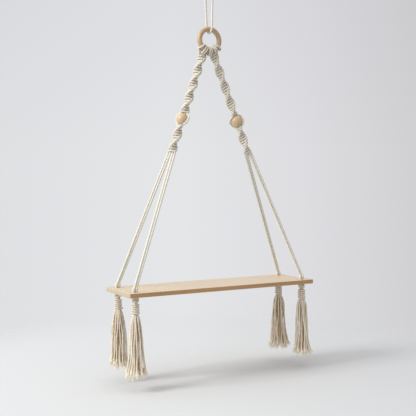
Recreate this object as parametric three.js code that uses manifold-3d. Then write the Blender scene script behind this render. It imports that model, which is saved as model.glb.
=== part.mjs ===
// Hanging rope shelf: a wooden board carried at four holes by knotted cotton cords that meet in a ring.
// Millimetres, +Z up, X along the board, -Y to the front. The origin is the hook's place inside the top loop.
import * as THREE from 'three';
import { mergeVertices } from 'three/addons/utils/BufferGeometryUtils.js';
import Module from 'manifold-3d';

const wasm = await Module();
wasm.setup();

// Heights and spreads of the whole hanging
const hookToRing = 124;
const ringToBoard = 595;
const ringToBeads = 195;
const ringToFork = 279;
const ringToLegTop = 46;
const legTopSpread = 39;
const legTopSetback = 6.3;
const forkSpread = 215;

// Board
const boardLength = 500;
const boardDepth = 150;
const boardThickness = 10;
const boardCornerRadius = 4;
const boardEdgeEase = 0.8;
const holeDiameter = 12;
const holeInset = 22;

// Cord, and the clearances between pieces
const cordDiameter = 5;
const tightCordDiameter = 3.6;
const seatGap = 0.3;
const looseGap = 0.35;

// Ring
const ringOuterDiameter = 67;
const ringRodDiameter = 13;

// Hanging cord, an endless loop: the points of its route, over the hook, down the front strand, round the
// ring's top and up the back strand
const overTheHook = [
  [-10, 0, -9.2], [-10, 0, -7.5], [-8.7, 0, -2.5], [-5, 0, 1.2], [0, 0, 2.5],
  [5, 0, 1.2], [8.7, 0, -2.5], [10, 0, -7.5], [10, 0, -9.2],
];
const frontStrand = [[10, 0, -12], [9.6, -0.45, -16], [8.1, -2.2, -32], [5.95, -4.73, -55]];
const roundTheRing = [
  [4.1, -6.9, -75], [2.6, -8.7, -90], [2, -9.35, -97], [1.33, -8.1, -101.7], [0.67, -4.7, -105.1],
  [0, 0, -106.35],
  [-0.67, 4.7, -105.1], [-1.33, 8.1, -101.7], [-2, 9.35, -97], [-2.6, 8.7, -90], [-4.1, 6.9, -75],
];
const backStrand = [[-5.95, 4.73, -55], [-8.1, 2.2, -32], [-9.6, 0.45, -16], [-10, 0, -12]];

// Lark's heads: each cord is folded over the ring's foot and its tails drop inside its own fold.
// A head's middle is in degrees along the ring from its foot. A place is degrees along the ring from
// the head's middle, degrees round the rod, and the way out from the rod as a share of the cord's diameter.
const headMiddles = { inner: 14.6, outer: 43.8 };
const headPlaceShares = [
  [3.9, 56, 0.08], [4.5, 80, 0], [5.5, 110, 0], [7, 145, 0], [7.3, 180, 0], [7.5, 215, 0], [8.3, 250, 0],
  [9.4, 285, 0], [10.4, 320, 0], [10.6, 350, 0.1], [10.6, 375, 0.5], [11.2, 400, 0], [9.7, 431, 0.93],
  [4.8, 430, 1.6], [0, 432, 1.6],
];
const tailBend = { sideShare: 0.82, setbackShare: 1.15, dropShare: 2 };

// Four cords side by side, in steps from the row's middle
const rowPlaces = [-1.5, -0.5, 0.5, 1.5];

// Beads
const beadDiameter = 30;
const beadBoreDiameter = 11;

// Knotted legs. Each half knot turns a leg a little further: a half turn takes the lengths given here,
// and the turns beside the bead are degrees from the leg's own plane
const sennitWidth = 22.6;
const sennitThickness = 12.4;
const knotPitch = 7;
const knotRibDepth = 0.8;
const legStubLength = 3;
const plainEndLength = 5.5;
const stubGatherShare = 0.5;
const bowEndDegrees = 66;
const spirals = {
  left: { upperHalfTurn: 35.5, lowerHalfTurn: 38, turnAboveBead: 50, turnBelowBead: 75 },
  right: { upperHalfTurn: 40.5, lowerHalfTurn: 41, turnAboveBead: 5, turnBelowBead: 70 },
};

// Mouths of the holes, where the carrying cords bend to go straight down
const mouthRise = 3;
const mouthBend = 4;

// Knots under the board and tassels. The turn of each tassel about its own line is in degrees
const stopKnotDiameter = 16.5;
const stopKnotHeight = 11;
const stopKnotShares = [[0, 0], [0.86, 0], [1, 0.22], [0.97, 0.52], [0.8, 0.82], [0.58, 1], [0, 1]];
const neckDiameter = 9;
const wrapRise = 0.8;
const wrapCordDiameter = 4.3;
const wrapPitch = 4.8;
const wrapTurns = 4.5;
const skirtLength = 143;
const skirtTopDiameter = 17;
const skirtEndDiameter = 44;
const skirtStrandDepth = 1.8;
const skirtEndRaggedness = 4;
const skirtStrands = 10;
const skirtRaggedWaves = 3;
const skirtShares = [[0, 0.39], [0.05, 0.52], [0.14, 0.63], [0.32, 0.74], [0.6, 0.82], [0.82, 0.91], [1, 1]];
const tasselTurns = { front_left: -92, back_left: 126, front_right: -11, back_right: 206 };

// Counts of facets and steps, and where the rows of a round end lie
const cordSides = 8;
const tightSides = 6;
const routeStepsPerPoint = 2;
const ringSteps = 36;
const ringSides = 12;
const beadSteps = 20;
const beadRows = 9;
const fillerSteps = 5;
const bowSteps = 10;
const sennitSides = 10;
const sennitRowsPerKnot = 3;
const headSteps = 34;
const boardCornerSteps = 4;
const mouthSteps = 3;
const stopKnotSides = 12;
const neckSides = 10;
const neckDomeRows = 3;
const wrapStepsPerTurn = 12;
const pointsPerStrand = 4;
const skirtDomeRows = 2;
const roundHeadShares = [0.15, 0.6];
const domeStartShare = 0.4;
const cutReachShare = 4;

const sides = { left: -1, right: 1 };
const faces = { front: -1, back: 1 };

const cordRadius = cordDiameter / 2;
const tightRadius = tightCordDiameter / 2;
const rodRadius = ringRodDiameter / 2;
const ringRadius = ringOuterDiameter / 2 - rodRadius;
const beadRadius = beadDiameter / 2;
const cordStep = cordDiameter + seatGap;
const tightStep = tightCordDiameter + seatGap;
const ringZ = -hookToRing;
const boardTopZ = ringZ - ringToBoard;
const boardBottomZ = boardTopZ - boardThickness;
const up = new THREE.Vector3(0, 0, 1);
const vec = (x, y, z) => new THREE.Vector3(x, y, z);
const degrees = THREE.MathUtils.degToRad;

const materials = {
  cotton: { color: 0xe9e2d0, roughness: 0.95, metalness: 0 },
  knottedCotton: { color: 0xe3dac4, roughness: 0.95, metalness: 0 },
  boardWood: { color: 0xd9bf98, roughness: 0.6, metalness: 0 },
  ringWood: { color: 0xb98f5e, roughness: 0.5, metalness: 0 },
  beadWood: { color: 0xe2c49a, roughness: 0.45, metalness: 0 },
};

// Closed meshes as solids, for joins and cuts

function toSolid(geometry) {
  const bare = geometry.index ? geometry.toNonIndexed() : geometry.clone();
  bare.deleteAttribute('normal');
  bare.deleteAttribute('uv');
  const merged = mergeVertices(bare);
  return new wasm.Manifold(new wasm.Mesh({
    numProp: 3,
    vertProperties: new Float32Array(merged.attributes.position.array),
    triVerts: new Uint32Array(merged.index.array),
  }));
}

function toGeometry(solid) {
  const mesh = solid.getMesh();
  const geometry = new THREE.BufferGeometry();
  geometry.setAttribute('position', new THREE.BufferAttribute(new Float32Array(mesh.vertProperties), 3));
  geometry.setIndex(new THREE.BufferAttribute(new Uint32Array(mesh.triVerts), 1));
  return geometry;
}

function join(...geometries) {
  return toGeometry(geometries.map(toSolid).reduce((whole, piece) => whole.add(piece)));
}

// What lies between two levels along a direction stays, the rest is cut away
function keepBetween(geometry, centre, direction, below, above) {
  geometry.computeBoundingSphere();
  const { radius, center } = geometry.boundingSphere;
  const reach = cutReachShare * (radius + center.distanceTo(centre));
  const slab = new THREE.BoxGeometry(reach, reach, above - below);
  slab.translate(0, 0, (above + below) / 2);
  slab.applyQuaternion(new THREE.Quaternion().setFromUnitVectors(up, direction));
  slab.translate(centre.x, centre.y, centre.z);
  return toGeometry(toSolid(geometry).intersect(toSolid(slab)));
}

// A route that keeps exactly the points it is given
class Route extends THREE.Curve {
  constructor(points) {
    super();
    this.points = points;
  }

  getUtoTmapping(u) {
    return u;
  }

  getPoint(t, target = new THREE.Vector3()) {
    const place = t * (this.points.length - 1);
    const index = Math.min(Math.floor(place), this.points.length - 2);
    return target.lerpVectors(this.points[index], this.points[index + 1], place - index);
  }
}

function tube(points, radius, sides) {
  const section = new THREE.Shape(Array.from({ length: sides }, (_, i) => {
    const angle = 2 * Math.PI * (i + 0.5) / sides;
    return new THREE.Vector2(radius * Math.cos(angle), radius * Math.sin(angle));
  }));
  const route = new Route(points);
  return new THREE.ExtrudeGeometry(section, { steps: points.length - 1, extrudePath: route });
}

// Rings of points joined into one closed skin with flat ends
function loft(rings) {
  const count = rings[0].length;
  const points = rings.flat();
  const ends = [rings[0], rings[rings.length - 1]].map((ring) => {
    const centre = ring.reduce((sum, p) => sum.add(p), vec(0, 0, 0)).divideScalar(count);
    return points.push(centre) - 1;
  });
  const index = [];
  for (let r = 0; r < rings.length - 1; r++) {
    for (let i = 0; i < count; i++) {
      const a = r * count + i;
      const b = r * count + (i + 1) % count;
      const [c, d] = [a + count, b + count];
      const leans = points[a].distanceTo(points[d]) > points[b].distanceTo(points[c]);
      index.push(...(leans ? [a, b, c, b, d, c] : [a, b, d, a, d, c]));
    }
  }
  const last = (rings.length - 1) * count;
  for (let i = 0; i < count; i++) {
    const next = (i + 1) % count;
    index.push(ends[0], next, i, ends[1], last + i, last + next);
  }
  const geometry = new THREE.BufferGeometry();
  geometry.setAttribute('position', new THREE.Float32BufferAttribute(points.flatMap((p) => p.toArray()), 3));
  geometry.setIndex(index);
  return toSolid(geometry).volume() > 0 ? geometry : flip(geometry);
}

function flip(geometry) {
  const index = geometry.index.array;
  for (let i = 0; i < index.length; i += 3) {
    [index[i + 1], index[i + 2]] = [index[i + 2], index[i + 1]];
  }
  return geometry;
}

const toLevel = (ring, direction, z) => (
  ring.map((p) => p.clone().addScaledVector(direction, (z - p.z) / direction.z))
);

// A cord whose first end is a round head, so that it can turn there, and whose other end is level
function headedCord(points, radius) {
  const last = points.length - 1;
  const directionAt = (i) => {
    const [before, after] = [points[Math.max(i - 1, 0)], points[Math.min(i + 1, last)]];
    return after.clone().sub(before).normalize();
  };
  const ringAcross = (centre, direction, size) => {
    const side = new THREE.Vector3().crossVectors(direction, vec(1, 0, 0)).normalize();
    const front = new THREE.Vector3().crossVectors(side, direction);
    return Array.from({ length: cordSides }, (_, k) => {
      const angle = 2 * Math.PI * (k + 0.5) / cordSides;
      const point = centre.clone().addScaledVector(side, size * Math.cos(angle));
      return point.addScaledVector(front, size * Math.sin(angle));
    });
  };
  const head = roundHeadShares.map((share) => {
    const angle = Math.PI / 2 * share;
    const centre = points[0].clone().addScaledVector(directionAt(0), -radius * Math.cos(angle));
    return ringAcross(centre, directionAt(0), radius * Math.sin(angle));
  });
  const rings = points.map((p, i) => ringAcross(p, directionAt(i), radius));
  rings.push(toLevel(rings.pop(), directionAt(last), points[last].z));
  return loft([...head, ...rings]);
}

const shelf = new THREE.Group();

function addPart(name, geometry, material) {
  const mesh = new THREE.Mesh(geometry, new THREE.MeshStandardMaterial(materials[material]));
  mesh.name = name;
  shelf.add(mesh);
  return mesh;
}

// Hanging cord: a loop over the hook, two strands that swing from it, and the bight under the ring's top,
// which twists where the strands end

function smoothRoute(points) {
  const curve = new THREE.CatmullRomCurve3(points, false, 'centripetal');
  return curve.getPoints(routeStepsPerPoint * (points.length - 1));
}

const routePoints = (...lists) => lists.flat().map(([x, y, z]) => vec(x, y, z));

function makeHookLoop() {
  return tube(smoothRoute(routePoints(overTheHook)), cordRadius, cordSides);
}

function makeBight() {
  const route = smoothRoute(routePoints(frontStrand, roundTheRing, backStrand));
  const [twist] = routePoints(backStrand);
  return keepBetween(tube(route, cordRadius, cordSides), vec(0, 0, 0), up, ringZ, twist.z - seatGap);
}

addPart('hanging_loop', makeHookLoop(), 'cotton');
addPart('hanging_strand_front', headedCord(routePoints(frontStrand), cordRadius), 'cotton');
addPart('hanging_strand_back', headedCord(routePoints(backStrand).reverse(), cordRadius), 'cotton');
addPart('hanging_bight', makeBight(), 'cotton');

// Ring

const hoop = new THREE.TorusGeometry(ringRadius, rodRadius, ringSides, ringSteps);
addPart('hanging_ring', hoop.rotateX(Math.PI / 2), 'ringWood').position.z = ringZ;

// Lark's heads

const headRadius = rodRadius + tightRadius + looseGap;
const legTop = (side) => vec(side * legTopSpread / 2, legTopSetback, ringZ - ringToLegTop);

function roundTheRod(along, round, out) {
  const reach = headRadius + out * tightCordDiameter;
  const radial = ringRadius + reach * Math.cos(degrees(round));
  const y = reach * Math.sin(degrees(round));
  return vec(radial * Math.sin(degrees(along)), y, ringZ - radial * Math.cos(degrees(along)));
}

function halfHead(middle, hand, end) {
  const places = headPlaceShares.map(([along, round, out]) => roundTheRod(middle + hand * along, round, out));
  const first = places[0];
  const bend = vec(
    THREE.MathUtils.lerp(first.x, end.x, tailBend.sideShare),
    headRadius * tailBend.setbackShare,
    first.z - tightCordDiameter * tailBend.dropShare,
  );
  return [end, end.clone().addScaledVector(up, tightCordDiameter), bend, ...places];
}

function makeHead(side, order) {
  const middle = side * headMiddles[order];
  const places = order === 'inner' ? rowPlaces.slice(0, 2) : rowPlaces.slice(2);
  const rise = tightRadius + seatGap;
  const ends = places.map((place) => legTop(side).add(vec(side * place * tightStep, 0, rise)));
  const [near, far] = [halfHead(middle, -side, ends[0]), halfHead(middle, side, ends[1])];
  const curve = new THREE.CatmullRomCurve3([...near, ...far.reverse().slice(1)], false, 'centripetal');
  return tube(curve.getSpacedPoints(headSteps), tightRadius, tightSides);
}

// Legs: spiral sennits of half knots, with a bead on the two inner cords

const forkPoint = (side) => vec(side * forkSpread / 2, 0, ringZ - ringToFork);

const beadSeat = Math.sqrt(beadRadius ** 2 - (beadBoreDiameter / 2) ** 2) + seatGap;

function legLine(name, side) {
  const top = legTop(side);
  const foot = forkPoint(side);
  const down = foot.clone().sub(top).normalize();
  const along = new THREE.Vector3().crossVectors(down, vec(0, 1, 0)).normalize();
  const across = new THREE.Vector3().crossVectors(down, along);
  const bead = top.clone().addScaledVector(down, (ringToLegTop - ringToBeads) / down.z);
  return { side, top, foot, down, along, across, bead, spiral: spirals[name] };
}

function turnAt(spiral, fromBead) {
  const [above, below] = [degrees(spiral.turnAboveBead), degrees(spiral.turnBelowBead)];
  if (fromBead < -beadSeat) {
    return above + Math.PI * (fromBead + beadSeat) / spiral.upperHalfTurn;
  }
  if (fromBead > beadSeat) {
    return below + Math.PI * (fromBead - beadSeat) / spiral.lowerHalfTurn;
  }
  return THREE.MathUtils.mapLinear(fromBead, -beadSeat, beadSeat, above, below);
}

// A point of the leg: how far below the bead's middle, and where in the spiral's own width and thickness
function legPoint(leg, fromBead, wide, thick) {
  const turn = turnAt(leg.spiral, fromBead);
  const point = leg.bead.clone().addScaledVector(leg.down, fromBead);
  point.addScaledVector(leg.along, wide * Math.cos(turn) - thick * Math.sin(turn));
  return point.addScaledVector(leg.across, wide * Math.sin(turn) + thick * Math.cos(turn));
}

// A twisted oval that swells once at every knot
function sennitRing(leg, fromBead) {
  const rib = knotRibDepth * (Math.cos(2 * Math.PI * fromBead / knotPitch) - 1);
  return Array.from({ length: sennitSides }, (_, i) => {
    const round = 2 * Math.PI * (i + 0.5) / sennitSides;
    const wide = (sennitWidth / 2 + rib) * Math.cos(round);
    return legPoint(leg, fromBead, wide, (sennitThickness / 2 + rib) * Math.sin(round));
  });
}

function sennitRows(leg, from, to) {
  const rowStep = knotPitch / sennitRowsPerKnot;
  const rows = [];
  for (let row = Math.ceil(from / rowStep); row * rowStep < to; row++) {
    rows.push(sennitRing(leg, row * rowStep));
  }
  return rows;
}

function makeUpperSennit(leg) {
  const level = leg.top.z - legStubLength;
  const start = legStubLength - leg.top.distanceTo(leg.bead);
  const first = toLevel(sennitRing(leg, start), leg.down, level);
  const rows = sennitRows(leg, start + plainEndLength, -beadSeat - cordRadius);
  const body = loft([first, ...rows, sennitRing(leg, -beadSeat)]);
  const stubs = rowPlaces.map((place) => {
    const head = leg.top.clone().add(vec(place * tightStep, 0, 0));
    const foot = leg.top.clone().lerp(head, stubGatherShare);
    return headedCord([head, foot.addScaledVector(leg.down, legStubLength + plainEndLength)], tightRadius);
  });
  return join(body, ...stubs);
}

function makeLowerSennit(leg) {
  const level = leg.foot.z + cordRadius + seatGap;
  const end = leg.foot.distanceTo(leg.bead) - cordRadius;
  const rows = sennitRows(leg, beadSeat + cordRadius, end - plainEndLength);
  const last = toLevel(sennitRing(leg, end), leg.down, level);
  return loft([sennitRing(leg, beadSeat), ...rows, last]);
}

function makeBead() {
  const bore = beadBoreDiameter / 2;
  const rim = Math.asin(bore / beadRadius);
  const outline = Array.from({ length: beadRows + 1 }, (_, i) => {
    const angle = THREE.MathUtils.lerp(rim, Math.PI - rim, i / beadRows);
    return new THREE.Vector2(beadRadius * Math.sin(angle), -beadRadius * Math.cos(angle));
  });
  return new THREE.LatheGeometry([...outline, outline[0].clone()], beadSteps).rotateX(Math.PI / 2);
}

// The inner cords run through the bead, the knotting cords bow round it on either side

function makeBeadFiller(leg, hand) {
  const reach = beadSeat - seatGap;
  return tube(Array.from({ length: fillerSteps + 1 }, (_, i) => (
    legPoint(leg, reach * (2 * i / fillerSteps - 1), hand * cordStep / 2, 0)
  )), cordRadius, cordSides);
}

function makeBeadBow(leg, hand) {
  const radius = beadRadius + cordRadius + looseGap;
  const bow = Array.from({ length: bowSteps + 1 }, (_, i) => {
    const angle = degrees(bowEndDegrees) * (2 * i / bowSteps - 1);
    return legPoint(leg, radius * Math.sin(angle), hand * radius * Math.cos(angle), 0);
  });
  const reach = beadSeat - seatGap;
  return keepBetween(tube(bow, cordRadius, cordSides), leg.bead, leg.down, -reach, reach);
}

for (const [name, side] of Object.entries(sides)) {
  const leg = legLine(name, side);
  for (const order of ['inner', 'outer']) {
    addPart(`${name}_${order}_larks_head`, makeHead(side, order), 'knottedCotton');
  }
  addPart(`${name}_upper_sennit`, makeUpperSennit(leg), 'knottedCotton');
  addPart(`${name}_lower_sennit`, makeLowerSennit(leg), 'knottedCotton');
  const bead = addPart(`${name}_bead`, makeBead(), 'beadWood');
  bead.position.copy(leg.bead);
  bead.quaternion.setFromUnitVectors(up, leg.down.clone().negate());
  for (const [mark, hand] of [['a', -1], ['b', 1]]) {
    addPart(`${name}_bead_filler_${mark}`, makeBeadFiller(leg, hand), 'cotton');
    addPart(`${name}_bead_cord_${mark}`, makeBeadBow(leg, hand), 'cotton');
  }
}

// Board, with two carrying cords through each corner hole

const holeX = boardLength / 2 - holeInset;
const holeY = boardDepth / 2 - holeInset;

function roundedRectangle(length, depth, radius) {
  const [x, y] = [length / 2, depth / 2];
  const shape = new THREE.Shape();
  shape.moveTo(radius - x, -y);
  shape.lineTo(x - radius, -y).absarc(x - radius, radius - y, radius, -Math.PI / 2, 0);
  shape.lineTo(x, y - radius).absarc(x - radius, y - radius, radius, 0, Math.PI / 2);
  shape.lineTo(radius - x, y).absarc(radius - x, y - radius, radius, Math.PI / 2, Math.PI);
  shape.lineTo(-x, radius - y).absarc(radius - x, radius - y, radius, Math.PI, 1.5 * Math.PI);
  return shape;
}

function makeBoard() {
  const shape = roundedRectangle(boardLength, boardDepth, boardCornerRadius);
  for (const x of [-holeX, holeX]) {
    for (const y of [-holeY, holeY]) {
      shape.holes.push(new THREE.Path().absarc(x, y, holeDiameter / 2, 0, 2 * Math.PI, true));
    }
  }
  const geometry = new THREE.ExtrudeGeometry(shape, {
    depth: boardThickness - 2 * boardEdgeEase,
    bevelThickness: boardEdgeEase,
    bevelSize: boardEdgeEase,
    bevelOffset: -boardEdgeEase,
    bevelSegments: 1,
    curveSegments: boardCornerSteps,
  });
  return geometry.translate(0, 0, boardBottomZ + boardEdgeEase);
}

addPart('shelf_board', makeBoard(), 'boardWood');

function makeCarryingCord(top, hole) {
  const corner = vec(hole.x, hole.y, boardTopZ + mouthRise + mouthBend);
  const lean = top.clone().sub(corner).normalize();
  const above = corner.clone().addScaledVector(lean, mouthBend);
  const mouth = vec(hole.x, hole.y, boardTopZ + mouthRise);
  const bend = new THREE.QuadraticBezierCurve3(above, corner, mouth).getPoints(mouthSteps);
  return headedCord([top, ...bend, vec(hole.x, hole.y, boardBottomZ)], cordRadius);
}

// Stop knots under the board, and tassels that hang from them

const knotTopZ = boardBottomZ - seatGap;
const neckHingeZ = knotTopZ - stopKnotHeight - seatGap - neckDiameter / 2;
const wrapTopZ = neckHingeZ + wrapRise - wrapCordDiameter / 2;
const wrapFootZ = wrapTopZ - wrapTurns * wrapPitch;
const neckFootZ = wrapFootZ - wrapCordDiameter / 2;
const skirtHingeZ = neckFootZ - seatGap - skirtTopDiameter / 2;

function makeStopKnot() {
  const outline = stopKnotShares.map(([out, down]) => (
    new THREE.Vector2(out * stopKnotDiameter / 2, -down * stopKnotHeight)
  ));
  return new THREE.LatheGeometry(outline.reverse(), stopKnotSides).rotateX(Math.PI / 2);
}

function domeRings(radius, count, rows) {
  return Array.from({ length: rows }, (_, r) => {
    const angle = Math.PI / 2 * (r + domeStartShare) / rows;
    return circle(count, () => radius * Math.sin(angle), () => radius * Math.cos(angle));
  });
}

function circle(count, radiusAt, zAt) {
  return Array.from({ length: count }, (_, i) => {
    const round = 2 * Math.PI * i / count;
    const radius = radiusAt(round);
    return vec(radius * Math.cos(round), radius * Math.sin(round), zAt(round));
  });
}

// The neck's round top turns on the stop knot, its origin is the middle of that round
function makeNeck() {
  const radius = neckDiameter / 2;
  const foot = circle(neckSides, () => radius, () => neckFootZ - neckHingeZ);
  return loft([...domeRings(radius, neckSides, neckDomeRows), foot]);
}

const wrapRadius = neckDiameter / 2 + wrapCordDiameter / 2 + looseGap;

function wrapRoute() {
  const steps = Math.round(wrapTurns * wrapStepsPerTurn);
  const turns = Array.from({ length: steps + 1 }, (_, i) => {
    const angle = 2 * Math.PI * wrapTurns * i / steps;
    const z = (wrapTopZ - neckHingeZ) - wrapPitch * wrapTurns * i / steps;
    return vec(wrapRadius * Math.cos(angle), wrapRadius * Math.sin(angle), z);
  });
  const lead = (end, next) => end.clone().add(end.clone().sub(next).setLength(wrapCordDiameter));
  return [lead(turns[0], turns[1]), ...turns, lead(turns[steps], turns[steps - 1])];
}

function leastSelfGap(route, diameter) {
  let least = Infinity;
  for (let i = 0; i < route.length; i++) {
    for (let j = i + Math.ceil(wrapStepsPerTurn / 2); j < route.length; j++) {
      least = Math.min(least, route[i].distanceTo(route[j]) - diameter);
    }
  }
  return least;
}

// The skirt is a bundle of strands that spreads below the wrapping and ends a little ragged
function makeSkirt(turn) {
  const count = skirtStrands * pointsPerStrand;
  const topRadius = skirtTopDiameter / 2;
  const length = skirtHingeZ - (neckFootZ - skirtLength);
  const dome = domeRings(topRadius, count, skirtDomeRows);
  const rows = skirtShares.map(([down, out]) => {
    const wave = (round) => Math.abs(Math.cos(skirtStrands / 2 * round + turn)) - 1;
    const ragged = (round) => skirtEndRaggedness * (Math.cos(skirtRaggedWaves * round + turn) - 1) / 2;
    const mean = Math.max(topRadius, out * skirtEndDiameter / 2);
    const radiusAt = (round) => mean + skirtStrandDepth * out * wave(round);
    return circle(count, radiusAt, (round) => -down * (length + ragged(round)));
  });
  return loft([...dome, ...rows]);
}

const wrapPath = wrapRoute();
console.log(`tassel wrapping: least gap to itself ${leastSelfGap(wrapPath, wrapCordDiameter).toFixed(2)} mm`);

for (const [endName, endSide] of Object.entries(sides)) {
  for (const [faceName, faceSide] of Object.entries(faces)) {
    const corner = `${faceName}_${endName}`;
    const hole = vec(endSide * holeX, faceSide * holeY, 0);
    const places = faceName === 'back' ? rowPlaces.slice(0, 2) : rowPlaces.slice(2);
    places.forEach((place, i) => {
      const top = forkPoint(endSide).add(vec(place * cordStep, 0, 0));
      const through = hole.clone().add(vec((i - 0.5) * cordStep, 0, 0));
      addPart(`${corner}_carrying_cord_${'ab'[i]}`, makeCarryingCord(top, through), 'cotton');
    });
    const turn = degrees(tasselTurns[corner]);
    const knot = addPart(`${corner}_stop_knot`, makeStopKnot(), 'knottedCotton');
    knot.position.set(hole.x, hole.y, knotTopZ);
    const neck = addPart(`${corner}_tassel_neck`, makeNeck(), 'cotton');
    neck.position.set(hole.x, hole.y, neckHingeZ);
    const wrap = addPart(`${corner}_tassel_wrap`, tube(wrapPath, wrapCordDiameter / 2, tightSides), 'cotton');
    wrap.position.copy(neck.position);
    wrap.rotation.z = turn;
    const skirt = addPart(`${corner}_tassel_skirt`, makeSkirt(turn), 'cotton');
    skirt.position.set(hole.x, hole.y, skirtHingeZ);
  }
}

export default shelf;
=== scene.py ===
import math

import bpy
import numpy as np
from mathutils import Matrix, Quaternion, Vector


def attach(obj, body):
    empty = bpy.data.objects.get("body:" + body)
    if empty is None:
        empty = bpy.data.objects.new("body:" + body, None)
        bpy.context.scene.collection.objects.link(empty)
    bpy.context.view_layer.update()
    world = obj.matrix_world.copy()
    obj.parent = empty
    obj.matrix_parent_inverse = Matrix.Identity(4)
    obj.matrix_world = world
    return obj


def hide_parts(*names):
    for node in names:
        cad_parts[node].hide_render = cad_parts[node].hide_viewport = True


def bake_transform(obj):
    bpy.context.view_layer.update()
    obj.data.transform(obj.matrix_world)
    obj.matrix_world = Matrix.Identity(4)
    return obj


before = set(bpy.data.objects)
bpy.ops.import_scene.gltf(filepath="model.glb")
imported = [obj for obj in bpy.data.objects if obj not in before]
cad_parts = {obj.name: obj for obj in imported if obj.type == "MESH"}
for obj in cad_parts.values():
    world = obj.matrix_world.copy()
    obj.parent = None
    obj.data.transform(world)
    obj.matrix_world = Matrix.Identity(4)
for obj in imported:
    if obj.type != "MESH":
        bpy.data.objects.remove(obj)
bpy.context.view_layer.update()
mm = 0.001
up = np.array((0.0, 0.0, 1.0))


# Camera, at the photograph's angle
view = {
    "place": (-0.9009, -1.6648, -0.4916), "turn": 28.155, "tilt": -1.282, "roll": -0.75,
    "lens": 66.74, "sensor": 36.0, "clip": (0.05, 40),
}


def aim(turn, tilt):
    turn, tilt = math.radians(turn), math.radians(tilt)
    return Vector((math.sin(turn) * math.cos(tilt), math.cos(turn) * math.cos(tilt), math.sin(tilt)))


bpy.ops.object.select_all(action="DESELECT")
lookAlong = aim(view["turn"], view["tilt"]).to_track_quat("-Z", "Y")
rolled = lookAlong @ Quaternion((0, 0, 1), math.radians(view["roll"]))
bpy.ops.object.camera_add(location=view["place"], rotation=rolled.to_euler())
camera = bpy.context.object
camera.name = "photoCamera"
camera.data.sensor_width = view["sensor"]
camera.data.lens = view["lens"]
camera.data.clip_start, camera.data.clip_end = view["clip"]
bpy.context.scene.camera = camera


# Node helpers
def addNode(tree, kind, links=(), **values):
    node = tree.nodes.new(kind)
    for name, value in values.items():
        setattr(node, name, value)
    for socket, source in links:
        if isinstance(source, bpy.types.NodeSocket):
            tree.links.new(source, node.inputs[socket])
        else:
            node.inputs[socket].default_value = source
    return node


def newGroup(name, inputs, outputs):
    tree = bpy.data.node_groups.new(name, "ShaderNodeTree")
    for way, sockets in (("INPUT", inputs), ("OUTPUT", outputs)):
        for label, kind in sockets:
            tree.interface.new_socket(name=label, in_out=way, socket_type=kind)
    return tree, tree.nodes.new("NodeGroupInput"), tree.nodes.new("NodeGroupOutput")


def math2(tree, operation, a, b):
    return addNode(tree, "ShaderNodeMath", ((0, a), (1, b)), operation=operation).outputs[0]


def vectorMath(tree, operation, a, b):
    return addNode(tree, "ShaderNodeVectorMath", ((0, a), (1, b)), operation=operation)


def noise(tree, vector, scale, detail):
    links = (("Vector", vector), ("Scale", scale), ("Detail", detail))
    return addNode(tree, "ShaderNodeTexNoise", links).outputs["Fac"]


def mapped(tree, value, low, high):
    links = (("Value", value), ("From Min", low), ("From Max", high))
    return addNode(tree, "ShaderNodeMapRange", links)


def ramp(tree, factor, stops):
    node = addNode(tree, "ShaderNodeValToRGB", (("Fac", factor),))
    band = node.color_ramp
    stops = list(stops)
    while len(band.elements) < len(stops):
        band.elements.new(0.5)
    for element, (place, colour) in zip(band.elements, stops):
        element.position = place
        element.color = (*colour, 1)
    return node.outputs["Color"]


def mixed(tree, factor, a, b, blendType="MIX"):
    node = addNode(tree, "ShaderNodeMix", (), data_type="RGBA", blend_type=blendType)
    for socket, source in ((0, factor), (6, a), (7, b)):
        if isinstance(source, bpy.types.NodeSocket):
            tree.links.new(source, node.inputs[socket])
        else:
            node.inputs[socket].default_value = (*source, 1) if isinstance(source, tuple) else source
    return node.outputs[2]


# Yarn: fine fibres that run with the plies, and soft blotches of colour along the cord
yarn = {
    "alongScale": 260.0, "fibreDetail": 3.0, "blotchScale": 70.0, "fuzzScale": 1900.0, "softDetail": 2.0,
    "fuzzHeight": 0.35, "bumpStrength": 0.8, "sheenRoughness": 0.6, "specular": 0.2,
    "colourStops": (0.3, 0.62), "roughness": ((0.2, (0.8,) * 3), (0.8, (0.97,) * 3)),
}


def makeYarnGroup():
    tree, given, result = newGroup(
        "yarnFibres",
        (("Fibres", "NodeSocketFloat"), ("Slant", "NodeSocketFloat")),
        (("Fibre", "NodeSocketFloat"), ("Blotch", "NodeSocketFloat"), ("Fuzz", "NodeSocketFloat")),
    )
    route = addNode(tree, "ShaderNodeUVMap", uv_map="cordUv").outputs[0]
    parts = addNode(tree, "ShaderNodeSeparateXYZ", ((0, route),))
    turned = math2(tree, "MULTIPLY", parts.outputs[0], given.outputs["Slant"])
    slanted = math2(tree, "ADD", parts.outputs[1], turned)
    around = math2(tree, "MULTIPLY", slanted, given.outputs["Fibres"])
    along = math2(tree, "MULTIPLY", parts.outputs[0], yarn["alongScale"])
    place = addNode(tree, "ShaderNodeCombineXYZ", ((0, along), (1, around))).outputs[0]
    solid = addNode(tree, "ShaderNodeTexCoord").outputs["Object"]
    fibre = noise(tree, place, 1.0, yarn["fibreDetail"])
    blotch = noise(tree, solid, yarn["blotchScale"], yarn["softDetail"])
    fuzz = noise(tree, solid, yarn["fuzzScale"], yarn["softDetail"])
    for name, source in (("Fibre", fibre), ("Blotch", blotch), ("Fuzz", fuzz)):
        tree.links.new(source, result.inputs[name])
    return tree


yarnGroup = makeYarnGroup()


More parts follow.
